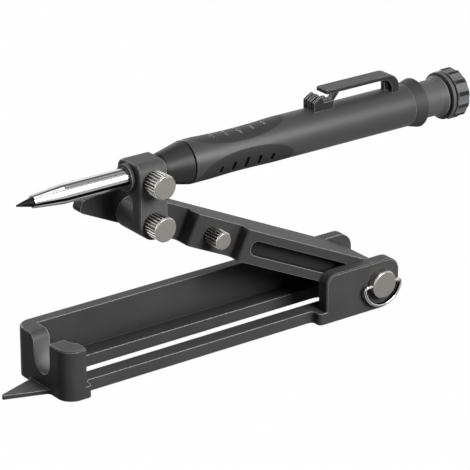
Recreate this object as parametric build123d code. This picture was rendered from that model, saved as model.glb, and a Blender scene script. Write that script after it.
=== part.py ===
from build123d import *
import math
import os

# A folding scribing tool in millimetres: a shoe that rides along a wall, a hinged arm,
# a swivelling clamp block and a mechanical carpenter's pencil with a long steel nose.
# The origin lies on the sole, under the hinge axis, at mid-width. +X points from the
# guide point towards the hinge, +Z is up, and the screw heads are on the -Y side.

# Clearances
RUN_FIT = 0.05          # radial, shafts that turn or slide
SEAT_FIT = 0.02         # radial, pieces pushed or screwed together for good
FACE_GAP = 0.15         # beside a turning face
HEAD_GAP = 0.1          # under a screw head
BODY_GAP = 0.3          # between bodies that pass each other
PAST = 1.0              # cutters reach past a face by this

# Shoe
SHOE_W = 27.0           # over the far wall and the near post
SHOE_L = 111.2          # hinge axis to front face
SHOE_H = 15.2
FLOOR_T = 3.6
WALL_T = 3.9            # far wall and both hinge ears
RAIL_SET = 3.6          # the near floor edge stands in by this
FRONT_T = 5.4           # front wall
CORNER_R = 4.5
POST_L = 7.4            # near post, along the shoe
POST_R = 1.5            # its rear corner
POST_SCOOP_R = 5.4      # hollow on the inner side of the post
FOOT_LIP = 1.3          # the feet of post and ear reach this far along the rail
EDGE = 0.4              # broken edges
SLOT_W = 8.8
SLOT_Y = -0.6
SLOT_FRONT = 8.2        # front face to the slot's end
SLOT_REAR = 7.5         # hinge axis to the slot's end
NOTCH_W = 8.2
NOTCH_Y = -0.9
NOTCH_FLOOR = 4.8
NOTCH_LIP_R = 2.5
POINT_L = 12.7          # front face to the tip of the guide point
POINT_W = 9.5
POINT_T = 1.25
POINT_TIP_R = 0.6
POINT_ROOT_R = 1.5
EAR_L = 19.8            # hinge axis to the ear's front edge
EAR_REACH = 7.5         # hinge axis to the rear end
EAR_FRONT_R = 3.5
EAR_REAR_R = 4.6
EAR_HEEL_R = 6.8

# Hinge bolt and its ring
BOLT_R = 2.5
BOLT_END = 0.6          # the bolt's end stands in from the far face
BOLT_HEAD_R = 4.3
BOLT_HEAD_T = 2.7
RING_R = 6.8            # centre line
RING_CORNER_R = 1.2
RING_WIRE_R = 0.55
RING_GRIP = 1.6         # each end of the wire reaches this far into the head

# Arm, along u from the hinge and across v
ARM_H = 9.8
ARM_ANGLE = 25.1        # rest angle above the sole
STEP_1 = 52.15
STEP_1_IN = 4.5
STEP_2 = 68.05
STEP_2_IN = 6.05
STEP_BREAK = 1.0
PIVOT_U = 87.75
ROOT_U = 82.0           # the thick part ends here, and the nose plate goes on
NOSE_T = 3.85
NOSE_END = 13.25        # pivot to the tip
NOSE_BEND = 4.2         # pivot to where the top edge starts to slope
NOSE_TIP_H = 3.6        # height of the blunt tip
NOSE_TIP_R = 1.5
SPIGOT_R = 3.2
POCKET_W = 4.4
POCKET_DEPTH = 4.0
POCKET_NEAR = 10.0      # hinge axis to the pocket's rear end
POCKET_WALL = 2.9       # step 1 to the pocket's front end
ARM_SCREW_U = 61.35

# Clamp block, about the arm's pivot
BLOCK_L = 9.4
BLOCK_W = 12.0          # near face to the end of the pivot boss
PLATE_T = 4.1
HOUSING_SET = 0.7       # the housing stops short of the boss end by this
HOUSING_BELOW = 5.5     # pencil axis to underside
HOUSING_ABOVE = 4.5     # pencil axis to top
HOUSING_R = 3.0
ARCH_R = 1.8            # under the housing, behind the plate
PENCIL_RISE = 13.28     # pivot to pencil axis
PENCIL_IN = 5.9         # near face to pencil axis
COLLET_RIM_R = 3.9      # raised ring round the pencil's tube
COLLET_RIM_L = 1.2

# Knurled screws
KNOB_R = 3.65
KNOB_L = 5.6
KNOB_FLUTES = 24
FLUTE_DEPTH = 0.32
CLAMP_SCREW_R = 2.0
SCREW_DROP = 0.8        # pencil axis down to the screw that clamps it
SMALL_KNOB_R = 2.7
SMALL_KNOB_L = 6.25
SMALL_FLUTES = 18
ARM_SCREW_R = 1.5
SCREW_HOLD = 8.0        # the small screw's length in the arm
SCREW_ROOM = 0.5        # hole beyond a screw's end

# Pencil, along x from the front face of its cone
CONE_GAP = 0.36         # clamp block to cone
LEAD_R = 1.4
LEAD_OUT = 5.0          # cone of lead beyond the tube
LEAD_TIP_R = 0.25
LEAD_L = 110.0
TUBE_R = 2.8
TUBE_OUT = 41.1         # tube beyond the cone
TUBE_TAPER = 9.5
TUBE_TIP_R = 1.8
TUBE_IN = 7.9           # tube inside the cone
TUBE_FLANGE_R = 3.3
TUBE_FLANGE_L = 1.0
CONE_L = 8.95
CONE_FRONT_R = 4.4
CONE_REAR_R = 6.3
CONE_SPIGOT_R = 4.5
CONE_SPIGOT_L = 7.25
SEAM = 0.35             # gap at the foot of the cone
BARREL_R = 6.4
BARREL_L = 79.3
BARREL_BREAK = 0.25
SCOOP_MID = 18.2        # barrel front to the middle of the scoops
SCOOP_L = 33.6
SCOOP_DEPTH = 0.65
SCOOP_FLOOR_R = 8.23    # the floor is rounded crosswise
SCOOP_COUNT = 3
GRIP_PITCH = 4.5
GRIP_COUNT = 5
GRIP_W = 1.1
GRIP_LONG = 4.8         # the middle slot, across the scoop
GRIP_LOSS = 0.9         # each next slot is shorter by this
GRIP_DEPTH = 0.6
COLLAR_L = 4.2
COLLAR_MAX_R = 7.4
COLLAR_BREAK = 0.3
COLLAR_SPIGOT_R = 5.0
COLLAR_SPIGOT_L = 7.5
STROKE = 3.0            # travel of the push button
NECK_R = 5.5
NECK_L = 7.1
NECK_IN = 0.8           # neck inside the collar
SHANK_R = 4.0
SHANK_L = 13.2          # thinner shank in front of the neck
FLARE_R = 6.3
FLARE_L = 1.7
GROOVE_R = 5.6
GROOVE_L = 0.8
FLANGE_R = 7.2
FLANGE_L = 1.2
CAP_SEAT_R = 4.9        # spigot behind the flange, inside the cap
CAP_SEAT_L = 3.6
CAP_R = 7.6
CAP_L = 4.3
CAP_FRONT_BREAK = 0.6
CAP_REAR_BREAK = 0.4
CAP_GAP = 0.05
CAP_LIP_R = 6.2
CAP_LIP_L = 0.55
CAP_END_T = 1.1
CAP_SCALLOPS = 12
SCALLOP_R = 4.6
SCALLOP_DEPTH = 0.6

# Chuck inside the pencil
CHUCK_BACK = 11.2       # cone face to the front of the collet
COLLET_L = 13.2
COLLET_HEAD_L = 3.2
COLLET_HEAD_R = 2.9
COLLET_R = 2.1
COLLET_JAWS = 3
COLLET_SLIT = 0.5
CHUCK_RING_IN = 2.5
CHUCK_RING_L = 1.9
LEAD_TUBE_R = 2.6
LEAD_TUBE_LAP = 3.8     # over the collet's tail
SPRING_R = 3.3          # centre line
SPRING_WIRE_R = 0.32
SPRING_TURNS = 8
SPRING_BORE_R = 4.3
SPRING_L = 25.0

# Sharpener in the cap
SHARP_R = 3.3
SHARP_L = 9.5
SHARP_BORE_R = 3.5
SHARP_MOUTH_R = 1.7
SHARP_END_R = 0.4
SHARP_CONE_L = 7.5
SHARP_FLAT = 1.3        # axis to the flat for the blade
BLADE_L = 6.4
BLADE_W = 4.2
BLADE_T = 0.45
BLADE_HONE = 0.36       # height of its slanted cutting edge
BLADE_SCREW_R = 0.6
BLADE_HEAD_R = 1.1
BLADE_HEAD_T = 0.4

# Pocket clip
CLIP_W = 5.2
CLIP_T = 1.25           # blade
CLIP_BREAK = 0.25
CLIP_RISE = 4.1         # barrel surface to the blade's underside
CLIP_FROM_END = 3.6     # barrel's rear end to the heel
CLIP_L = 27.0           # blade and heel
CLIP_TIP_R = 0.5        # front end of the blade
CLIP_BEND_R = 4.5       # outside of the bend into the heel
CLIP_HEEL_T = 2.8
CLIP_HEEL_R = 3.3       # inside of the bend
CLIP_WEB_T = 1.6        # webs under the blade, on its middle line
CLIP_WEB_L = 4.3        # heel's rear face to the front of the rear web
STRUT_AT = 6.6          # blade's front end to the top of the front web
STRUT_L = 1.9
STRUT_LEAN = 3.6        # its foot lies this far in front of its top
FOOT_OUT = 4.6          # the foot stands in front of the blade by this
FOOT_L = 7.2
FOOT_FRONT_H = 2.4
FOOT_H = 3.8            # top of its ramp
FOOT_RAMP_L = 2.4
FOOT_TOP_L = 0.6
FOOT_BED_H = 1.9
FOOT_GROOVE_W = 0.8
FOOT_GROOVE_AT = 1.2    # middle line to each groove
FOOT_GROOVE_DEPTH = 0.45
CLIP_TANG_L = 2.0
CLIP_TANG_DEPTH = 0.9

# Worked out from the sizes above
HALF_W = SHOE_W / 2
EAR_IN = HALF_W - WALL_T
HINGE_Z = FLOOR_T + ARM_H / 2
ARM_HALF = EAR_IN - FACE_GAP
STEP_1_Y = -ARM_HALF + STEP_1_IN
STEP_2_Y = STEP_1_Y + STEP_2_IN
NOSE_Y = ARM_HALF - NOSE_T
TILT = math.radians(ARM_ANGLE)
PIVOT_X = -PIVOT_U * math.cos(TILT)
PIVOT_Z = HINGE_Z + PIVOT_U * math.sin(TILT)
BOSS_END = STEP_2_Y - BODY_GAP
BLOCK_Y = BOSS_END - BLOCK_W
PENCIL_X = PIVOT_X + BLOCK_L / 2 + CONE_GAP
PENCIL_Y = BLOCK_Y + PENCIL_IN
PENCIL_Z = PIVOT_Z + PENCIL_RISE
SCREW_RISE = PENCIL_RISE - SCREW_DROP
TUBE_FIT_R = TUBE_R + SEAT_FIT
LEAD_BORE_R = LEAD_R + RUN_FIT
BARREL_X = CONE_L + SEAM
BARREL_END = BARREL_X + BARREL_L
COLLAR_END = BARREL_END + COLLAR_L
FLARE_X = COLLAR_END + NECK_L
FLANGE_X = FLARE_X + FLARE_L + GROOVE_L
FLANGE_END = FLANGE_X + FLANGE_L
CAP_X = FLANGE_END + CAP_GAP
CAP_END = CAP_X + CAP_LIP_L + CAP_L
COLLET_END = CHUCK_BACK + COLLET_L
SHANK_X = COLLAR_END - NECK_IN - SHANK_L
SPRING_X = SHANK_X - SPRING_L
COLLET_BORE_R = LEAD_TUBE_R + RUN_FIT + SEAT_FIT
SCOOP_SINK = SCOOP_FLOOR_R - (BARREL_R - SCOOP_DEPTH)
SCOOP_SWEEP_R = SCOOP_L ** 2 / (8 * SCOOP_DEPTH)
CLIP_END = BARREL_END - CLIP_FROM_END
CLIP_X = CLIP_END - CLIP_L
CLIP_UNDER = BARREL_R + CLIP_RISE
FOOT_X = CLIP_X - FOOT_OUT


# Helpers

def across(profile, near, far):
    """A profile drawn in x and z, extruded from y = near to y = far."""
    return extrude(Plane((0, far, 0), x_dir=(1, 0, 0), z_dir=(0, -1, 0)) * profile, far - near)


def along(profile, front, rear):
    """A profile drawn in y and z, extruded from x = front to x = rear."""
    return extrude(Plane((front, 0, 0), x_dir=(0, 1, 0), z_dir=(1, 0, 0)) * profile, rear - front)


def upright(profile, low, high):
    """A profile drawn in x and y, extruded from z = low to z = high."""
    return Pos(0, 0, low) * extrude(profile, high - low)


def pin_y(x, z, radius, near, far):
    """A round pin or bore along Y."""
    return across(Pos(x, z) * Circle(radius), near, far)


def rod(radius, front, rear):
    """A round rod or bore along X, about the pencil's axis."""
    return along(Circle(radius), front, rear)


def outline(*corners):
    """A closed outline of straight sides, each corner given as (x, y, radius)."""
    points = [(x, y) for x, y, _ in corners]
    return make_face(FilletPolyline(*points, radius=[r for _, _, r in corners], close=True))


def box(low, high):
    """A block between two opposite corners."""
    size = [h - l for l, h in zip(low, high)]
    middle = [(l + h) / 2 for l, h in zip(low, high)]
    return Pos(*middle) * Box(*size)


def turned(*half):
    """A body of revolution about X, from its half section as (x, radius) points."""
    return revolve(make_face(Polyline(*half, close=True)), Axis.X)


def on_arm(shape):
    """Tips what is drawn level, pointing along -X from the hinge, to the arm's rest angle."""
    return Pos(0, 0, HINGE_Z) * Rot(0, ARM_ANGLE, 0) * shape


def on_pencil(shape):
    """Moves what is drawn about X to the pencil's axis in the clamp block."""
    return Pos(PENCIL_X, PENCIL_Y, PENCIL_Z) * shape


# Shoe

def ear_profile(front, height):
    """Side view of a hinge ear, with its round heel."""
    return outline(
        (front, 0, 0), (front, height, EAR_FRONT_R), (EAR_REACH, height, EAR_REAR_R),
        (EAR_REACH, 0, EAR_HEEL_R),
    )


def shoe_floor():
    """The floor, with its near edge set in, and the feet of post and ear on the rail."""
    rail_y = -HALF_W + RAIL_SET
    plan = outline(
        (-SHOE_L, -HALF_W, CORNER_R), (-SHOE_L + POST_L + FOOT_LIP, -HALF_W, POST_R),
        (-SHOE_L + POST_L + FOOT_LIP, rail_y, FOOT_LIP), (-EAR_L - 2 * FOOT_LIP, rail_y, FOOT_LIP),
        (-EAR_L - 2 * FOOT_LIP, -HALF_W, FOOT_LIP), (EAR_REACH, -HALF_W, 0),
        (EAR_REACH, HALF_W, 0), (-SHOE_L, HALF_W, CORNER_R),
    )
    heel = across(ear_profile(-SHOE_L, SHOE_H), -HALF_W, HALF_W)
    return upright(plan, 0, FLOOR_T) & heel


def front_block():
    """The front wall and the near post in one outline, hollowed where the post meets the wall."""
    wall_x = -SHOE_L + FRONT_T
    post_x = -SHOE_L + POST_L
    notch_near = NOTCH_Y - NOTCH_W / 2
    plan = outline(
        (-SHOE_L, -HALF_W, CORNER_R), (post_x, -HALF_W, POST_R), (post_x, notch_near, 0),
        (wall_x, notch_near, 0), (wall_x, HALF_W, 0), (-SHOE_L, HALF_W, CORNER_R),
    )
    hollow = Pos(wall_x + POST_SCOOP_R - EDGE, notch_near) * Circle(POST_SCOOP_R)
    return upright(plan - hollow, 0, SHOE_H)


def notch():
    """The U-notch through the front wall, with a round lip on its far side."""
    radius = NOTCH_W / 2
    low = NOTCH_FLOOR + radius
    throat = Pos(NOTCH_Y, low) * Circle(radius)
    throat += Pos(NOTCH_Y, (low + 2 * SHOE_H) / 2) * Rectangle(NOTCH_W, 2 * SHOE_H - low)
    far = NOTCH_Y + radius
    lip = Pos(far + NOTCH_LIP_R / 2, SHOE_H - NOTCH_LIP_R / 2) * Rectangle(NOTCH_LIP_R, NOTCH_LIP_R)
    lip -= Pos(far + NOTCH_LIP_R, SHOE_H - NOTCH_LIP_R) * Circle(NOTCH_LIP_R)
    return along(throat + lip, -SHOE_L - PAST, -SHOE_L + FRONT_T)


def guide_point():
    """The flat triangular point at the sole."""
    half = POINT_W / 2
    slope = math.atan2(half, POINT_L + POINT_TIP_R)
    apex = -SHOE_L - POINT_L - POINT_TIP_R * (1 / math.sin(slope) - 1)
    root = half + 2 * POINT_ROOT_R
    plan = outline(
        (apex, 0, POINT_TIP_R), (-SHOE_L, half, POINT_ROOT_R), (-SHOE_L, root, 0),
        (-SHOE_L + PAST, root, 0), (-SHOE_L + PAST, -root, 0), (-SHOE_L, -root, 0),
        (-SHOE_L, -half, POINT_ROOT_R),
    )
    return upright(plan, 0, POINT_T)


def rim(solid, keep):
    """Breaks those edges of a solid whose middle passes the test."""
    return chamfer(solid.edges().filter_by(keep), EDGE)


def near_ear():
    ear = across(ear_profile(-EAR_L, SHOE_H), -HALF_W, -EAR_IN)
    return rim(ear, lambda e: e.center().Y < -HALF_W + EDGE and e.center().Z > EDGE)


def far_wall():
    """The far wall, which ends in the far ear."""
    wall = across(ear_profile(-SHOE_L + CORNER_R, SHOE_H), EAR_IN, HALF_W)
    wall += box((-SHOE_L + CORNER_R, EAR_IN, 0), (-EAR_L, HALF_W, SHOE_H))
    outer = wall.faces().sort_by(Axis.Y)[-1]
    return chamfer(outer.edges().filter_by(lambda e: e.center().Z > EDGE
                                           and e.center().X > -SHOE_L + CORNER_R + EDGE), EDGE)


def make_shoe():
    block = front_block()
    block = rim(block, lambda e: e.center().Z > SHOE_H - EDGE
                and (abs(e.center().Y) > HALF_W - CORNER_R or e.center().X < -SHOE_L + EDGE))
    body = shoe_floor() + block + far_wall() + near_ear()
    body -= notch()
    slot_length = SHOE_L - SLOT_FRONT - SLOT_REAR
    slot_mid = -SLOT_REAR - slot_length / 2
    body -= upright(Pos(slot_mid, SLOT_Y) * SlotOverall(slot_length, SLOT_W), -PAST,
                    FLOOR_T + PAST)
    body -= pin_y(0, HINGE_Z, ARM_H / 2 + BODY_GAP + FACE_GAP, -EAR_IN, EAR_IN)
    body -= pin_y(0, HINGE_Z, BOLT_R + RUN_FIT, -HALF_W - PAST, HALF_W + PAST)
    return body + guide_point()


# Hinge

def make_hinge_bolt():
    face = -HALF_W - HEAD_GAP
    head = pin_y(0, HINGE_Z, BOLT_HEAD_R, face - BOLT_HEAD_T, face)
    head = chamfer(head.edges().group_by(Axis.Y)[0], EDGE)
    for side in (-1, 1):
        edge = side * BOLT_HEAD_R
        inner = edge - side * (RING_GRIP + HEAD_GAP)
        bore = along(Circle(RING_WIRE_R + RUN_FIT), min(edge, inner) - 0.001, max(edge, inner))
        head -= Pos(0, face - BOLT_HEAD_T / 2, HINGE_Z) * bore
    return head + pin_y(0, HINGE_Z, BOLT_R, face, HALF_W - BOLT_END)


def ring_path():
    """Half of the D-ring's centre line, from its stub in the head to its lowest point."""
    reach = RING_R - RING_CORNER_R
    corner_x = math.sqrt(reach ** 2 - RING_CORNER_R ** 2)
    aim = math.atan2(-RING_CORNER_R, corner_x)
    meet = (RING_R * math.cos(aim), RING_R * math.sin(aim))
    bend = (math.pi / 2 + aim) / 2
    middle = (corner_x + RING_CORNER_R * math.sin(bend), -RING_CORNER_R * (1 - math.cos(bend)))
    sweep_mid = (aim - math.pi / 2) / 2
    stub = Line((BOLT_HEAD_R - RING_GRIP, 0), (corner_x, 0))
    corner = ThreePointArc((corner_x, 0), middle, meet)
    bow = ThreePointArc(
        meet, (RING_R * math.cos(sweep_mid), RING_R * math.sin(sweep_mid)), (0, -RING_R))
    return stub + corner + bow


def make_hinge_ring():
    """A wire bow whose two ends are hinged in the bolt head."""
    lay = Plane((0, -HALF_W - HEAD_GAP - BOLT_HEAD_T / 2, HINGE_Z), x_dir=(1, 0, 0), z_dir=(0, -1, 0))
    path = lay * ring_path()
    start = Plane(path @ 0, z_dir=path % 0)
    half = sweep(start * Circle(RING_WIRE_R), path)
    return half + mirror(half, Plane.YZ)


# Arm

def arm_profile():
    """Side view of the arm: a round hinge boss, a straight bar and a sloping nose."""
    half = ARM_H / 2
    tip = -PIVOT_U - NOSE_END
    bend = -PIVOT_U - NOSE_BEND
    bar = outline(
        (0, half, 0), (bend, half, ARM_H), (tip, -half + NOSE_TIP_H, NOSE_TIP_R),
        (tip, -half, NOSE_TIP_R), (0, -half, 0),
    )
    return bar + Circle(half)


def arm_plan():
    """Plan of the arm's near side: two steps in, then the nose plate."""
    rear, tip = ARM_H, -PIVOT_U - NOSE_END - PAST
    return outline(
        (rear, -ARM_HALF, 0), (-STEP_1, -ARM_HALF, STEP_BREAK), (-STEP_1, STEP_1_Y, STEP_BREAK),
        (-STEP_2, STEP_1_Y, STEP_BREAK), (-STEP_2, STEP_2_Y, STEP_BREAK),
        (-ROOT_U, STEP_2_Y, STEP_BREAK), (-ROOT_U, NOSE_Y, STEP_BREAK), (tip, NOSE_Y, 0),
        (tip, ARM_HALF, 0), (rear, ARM_HALF, 0),
    )


def make_arm():
    half = ARM_H / 2
    body = across(arm_profile(), -ARM_HALF, ARM_HALF) & upright(arm_plan(), -half, half)
    body += pin_y(-PIVOT_U, 0, SPIGOT_R, STEP_2_Y, NOSE_Y)
    pocket_end = -STEP_1 + POCKET_WALL
    length = -POCKET_NEAR - pocket_end
    pocket = Pos(pocket_end + length / 2, 0) * SlotOverall(length, POCKET_W)
    body -= across(pocket, -ARM_HALF, -ARM_HALF + POCKET_DEPTH)
    body -= pin_y(0, 0, BOLT_R + RUN_FIT, -ARM_HALF, ARM_HALF)
    body -= pin_y(-PIVOT_U, 0, CLAMP_SCREW_R + RUN_FIT, STEP_2_Y, ARM_HALF)
    screw_end = STEP_1_Y + HEAD_GAP + SCREW_HOLD + SCREW_ROOM
    body -= pin_y(-ARM_SCREW_U, 0, ARM_SCREW_R + RUN_FIT, STEP_1_Y, screw_end)
    return on_arm(body)


# Clamp block

def block_section():
    """The block seen along the pencil: housing, plate and the arch between them."""
    axis = PENCIL_RISE
    back = BOSS_END - HOUSING_SET
    plate_back = BLOCK_Y + PLATE_T
    under = axis - HOUSING_BELOW
    return outline(
        (BLOCK_Y, -BLOCK_L / 2, 0), (BLOCK_Y, axis + HOUSING_ABOVE, HOUSING_R),
        (back, axis + HOUSING_ABOVE, HOUSING_R), (back, under, EDGE),
        (plate_back, under, ARCH_R), (plate_back, -BLOCK_L / 2, 0),
    )


def make_clamp_block():
    """Drawn about the pivot, then moved there."""
    half = BLOCK_L / 2
    body = along(block_section(), -half, half)
    body = rim(body, lambda e: e.center().Y < BLOCK_Y + EDGE and abs(e.center().X) > half - EDGE
               and e.center().Z > 0)
    top = PENCIL_RISE + HOUSING_ABOVE
    side = Circle(half) + Pos(0, top / 2) * Rectangle(BLOCK_L, top)
    body &= across(side, BLOCK_Y, BOSS_END)
    body += pin_y(0, 0, half, BLOCK_Y + PLATE_T / 2, BOSS_END)
    rise = Pos(0, PENCIL_Y, PENCIL_RISE)
    body += rise * rod(COLLET_RIM_R, -half - COLLET_RIM_L, 0)
    body -= rise * rod(TUBE_R + RUN_FIT, -half - COLLET_RIM_L, half)
    body -= pin_y(0, 0, CLAMP_SCREW_R + RUN_FIT, BLOCK_Y, BOSS_END)
    body -= pin_y(0, SCREW_RISE, CLAMP_SCREW_R + RUN_FIT, BLOCK_Y, PENCIL_Y)
    return Pos(PIVOT_X, 0, PIVOT_Z) * body


# Knurled screws

def knurled_head(radius, length, flutes):
    """A round head with straight V flutes and broken ends, its face at y = 0, along +Y."""
    step = 360 / flutes
    blank = across(Circle(radius), 0, length)
    blank = chamfer(blank.edges().filter_by(GeomType.CIRCLE), EDGE)
    cutter = across(Pos(radius, 0) * Rot(0, 0, 45) * Rectangle(FLUTE_DEPTH * 2, FLUTE_DEPTH * 2),
                    EDGE, length)
    for i in range(flutes):
        blank -= Rot(0, i * step, 0) * cutter
    return blank


def screw(head, base, shank_radius, tip):
    """A head whose foot is at y = base, with a plain shank to y = tip, about the Y axis."""
    length = head.bounding_box().size.Y
    return Pos(0, base - length, 0) * head + pin_y(0, 0, shank_radius, base - EDGE, tip)


def make_pencil_screw():
    """Its end stops just short of the pencil's tube."""
    head = knurled_head(KNOB_R, KNOB_L, KNOB_FLUTES)
    tip = PENCIL_Y - TUBE_R - HEAD_GAP
    return Pos(PIVOT_X, 0, PENCIL_Z - SCREW_DROP) * screw(head, BLOCK_Y - HEAD_GAP, CLAMP_SCREW_R, tip)


def make_pivot_screw():
    head = knurled_head(KNOB_R, KNOB_L, KNOB_FLUTES)
    tip = ARM_HALF - SCREW_ROOM
    return Pos(PIVOT_X, 0, PIVOT_Z) * screw(head, BLOCK_Y - HEAD_GAP, CLAMP_SCREW_R, tip)


def make_arm_screw():
    head = knurled_head(SMALL_KNOB_R, SMALL_KNOB_L, SMALL_FLUTES)
    base = STEP_1_Y - HEAD_GAP
    return on_arm(Pos(-ARM_SCREW_U, 0, 0) * screw(head, base, ARM_SCREW_R, base + SCREW_HOLD))


# Pencil, drawn about X with x = 0 at the front face of its cone

def make_lead():
    tip = -TUBE_OUT - LEAD_OUT
    return turned((tip, 0), (tip, LEAD_TIP_R), (-TUBE_OUT, LEAD_R), (tip + LEAD_L, LEAD_R),
                  (tip + LEAD_L, 0))


def make_nose_tube():
    flange = TUBE_IN - TUBE_FLANGE_L
    return turned(
        (-TUBE_OUT, LEAD_BORE_R), (-TUBE_OUT, TUBE_TIP_R), (-TUBE_OUT + TUBE_TAPER, TUBE_R),
        (flange, TUBE_R), (flange, TUBE_FLANGE_R), (TUBE_IN, TUBE_FLANGE_R),
        (TUBE_IN, LEAD_BORE_R),
    )


def make_front_cone():
    seat = TUBE_IN - TUBE_FLANGE_L
    room = TUBE_FLANGE_R + SEAT_FIT
    rear = CONE_L + CONE_SPIGOT_L
    return turned(
        (0, TUBE_FIT_R), (0, CONE_FRONT_R - EDGE), (EDGE / 2, CONE_FRONT_R),
        (CONE_L, CONE_REAR_R), (CONE_L, CONE_SPIGOT_R), (rear, CONE_SPIGOT_R), (rear, room),
        (seat, room), (seat, TUBE_FIT_R),
    )


def barrel_blank():
    """The barrel before its grips, bored in steps for cone, lead tube, spring and collar."""
    front, rear = BARREL_X, BARREL_END
    cone_seat = CONE_L + CONE_SPIGOT_L + SEAT_FIT
    collar_seat = rear - COLLAR_SPIGOT_L - SEAT_FIT
    return turned(
        (front, CONE_SPIGOT_R + SEAT_FIT), (front, BARREL_R - BARREL_BREAK),
        (front + BARREL_BREAK, BARREL_R), (rear, BARREL_R), (rear, COLLAR_SPIGOT_R + SEAT_FIT),
        (collar_seat, COLLAR_SPIGOT_R + SEAT_FIT), (collar_seat, SPRING_BORE_R),
        (SPRING_X, SPRING_BORE_R), (SPRING_X, COLLET_BORE_R),
        (cone_seat, COLLET_BORE_R), (cone_seat, CONE_SPIGOT_R + SEAT_FIT),
    )


def sweep_sag(x):
    """How far the scoop's floor has risen at x from its middle."""
    return SCOOP_SWEEP_R - math.sqrt(SCOOP_SWEEP_R ** 2 - x ** 2)


def scoop():
    """A leaf-shaped hollow on top of the barrel: what lies outside a long waisted roller."""
    half = SCOOP_L / 2 + PAST
    end_r = SCOOP_FLOOR_R + sweep_sag(half)
    waist = ThreePointArc((-half, end_r), (0, SCOOP_FLOOR_R), (half, end_r))
    outside = Polyline((half, end_r), (half, end_r + SCOOP_DEPTH), (-half, end_r + SCOOP_DEPTH),
                       (-half, end_r))
    ring = revolve(make_face(waist + outside), Axis.X)
    return Pos(BARREL_X + SCOOP_MID, 0, -SCOOP_SINK) * ring


def grip():
    """One scoop with its crosswise slots, as a cutter on top of the barrel."""
    cutter = scoop()
    middle = (GRIP_COUNT - 1) / 2
    for i in range(GRIP_COUNT):
        x = (i - middle) * GRIP_PITCH
        length = GRIP_LONG - GRIP_LOSS * abs(i - middle)
        slot = Pos(BARREL_X + SCOOP_MID + x, 0) * Rot(0, 0, 90) * SlotOverall(length, GRIP_W)
        cutter += upright(slot, BARREL_R - SCOOP_DEPTH + sweep_sag(x) - GRIP_DEPTH, BARREL_R)
    return cutter


def make_barrel():
    body = barrel_blank()
    for i in range(SCOOP_COUNT):
        body -= Rot(i * 360 / SCOOP_COUNT, 0, 0) * grip()
    return body - clip_tang(SEAT_FIT)


def clip_tang(extra):
    """The block under the clip's heel that sits in a pocket of the barrel."""
    rear = CLIP_END - EDGE
    half = CLIP_W / 2 - EDGE + extra
    return box((rear - CLIP_TANG_L - extra, -half, BARREL_R - CLIP_TANG_DEPTH - extra),
               (rear + extra, half, BARREL_R + EDGE))


def clip_blade():
    """The blade, bent down into its heel."""
    inside = CLIP_END - CLIP_HEEL_T
    side = outline(
        (CLIP_X, CLIP_UNDER, 0), (CLIP_X, CLIP_UNDER + CLIP_T, CLIP_TIP_R),
        (CLIP_END, CLIP_UNDER + CLIP_T, CLIP_BEND_R), (CLIP_END, 0, 0), (inside, 0, 0),
        (inside, CLIP_UNDER, CLIP_HEEL_R),
    )
    blade = across(side, -CLIP_W / 2, CLIP_W / 2)
    outer = blade.edges().filter_by(
        lambda e: abs(e.center().Y) > CLIP_W / 2 - CLIP_BREAK
        and (e.center().Z > CLIP_UNDER + CLIP_T - CLIP_TIP_R or e.center().X > CLIP_END - CLIP_BREAK))
    return chamfer(outer, CLIP_BREAK)


def clip_webs():
    """The leaning web behind the foot and the upright web in the heel, on the middle line."""
    top, low = CLIP_X + STRUT_AT, BARREL_R
    lean = outline(
        (top - STRUT_L, CLIP_UNDER + CLIP_T / 2, 0), (top, CLIP_UNDER + CLIP_T / 2, 0),
        (top, CLIP_UNDER, 0), (top - STRUT_LEAN, low, 0), (top - STRUT_LEAN, 0, 0),
        (top - STRUT_LEAN - STRUT_L, 0, 0), (top - STRUT_LEAN - STRUT_L, low, 0),
        (top - STRUT_L, CLIP_UNDER, 0),
    )
    webs = across(lean, -CLIP_WEB_T / 2, CLIP_WEB_T / 2)
    return webs + box((CLIP_END - CLIP_WEB_L, -CLIP_WEB_T / 2, 0),
                      (CLIP_END - CLIP_HEEL_T + CLIP_BREAK, CLIP_WEB_T / 2, CLIP_UNDER))


def clip_foot():
    """The low foot in front, with a ramp and two grooves over it."""
    ramp_end = FOOT_X + FOOT_RAMP_L
    bed = FOOT_L - FOOT_RAMP_L - 2 * FOOT_TOP_L
    side = outline(
        (FOOT_X, 0, 0), (FOOT_X, BARREL_R + FOOT_FRONT_H, 0), (ramp_end, BARREL_R + FOOT_H, 0),
        (ramp_end + FOOT_TOP_L, BARREL_R + FOOT_H, 0),
        (FOOT_X + FOOT_L - bed, BARREL_R + FOOT_BED_H, 0),
        (FOOT_X + FOOT_L, BARREL_R + FOOT_BED_H, 0), (FOOT_X + FOOT_L, 0, 0),
    )
    foot = across(side, -CLIP_W / 2, CLIP_W / 2)
    skin = side - Pos(FOOT_GROOVE_DEPTH, -FOOT_GROOVE_DEPTH) * side
    groove = across(skin, -FOOT_GROOVE_W / 2, FOOT_GROOVE_W / 2)
    return foot - Pos(0, -FOOT_GROOVE_AT, 0) * groove - Pos(0, FOOT_GROOVE_AT, 0) * groove


def make_pocket_clip():
    """Blade, webs and foot in one moulding, seated on the barrel by its tang."""
    body = clip_blade() + clip_webs() + clip_foot()
    body -= rod(BARREL_R + SEAT_FIT, FOOT_X - PAST, CLIP_END + PAST)
    return body + (clip_tang(0) & rod(BARREL_R + EDGE, FOOT_X, CLIP_END))


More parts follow.
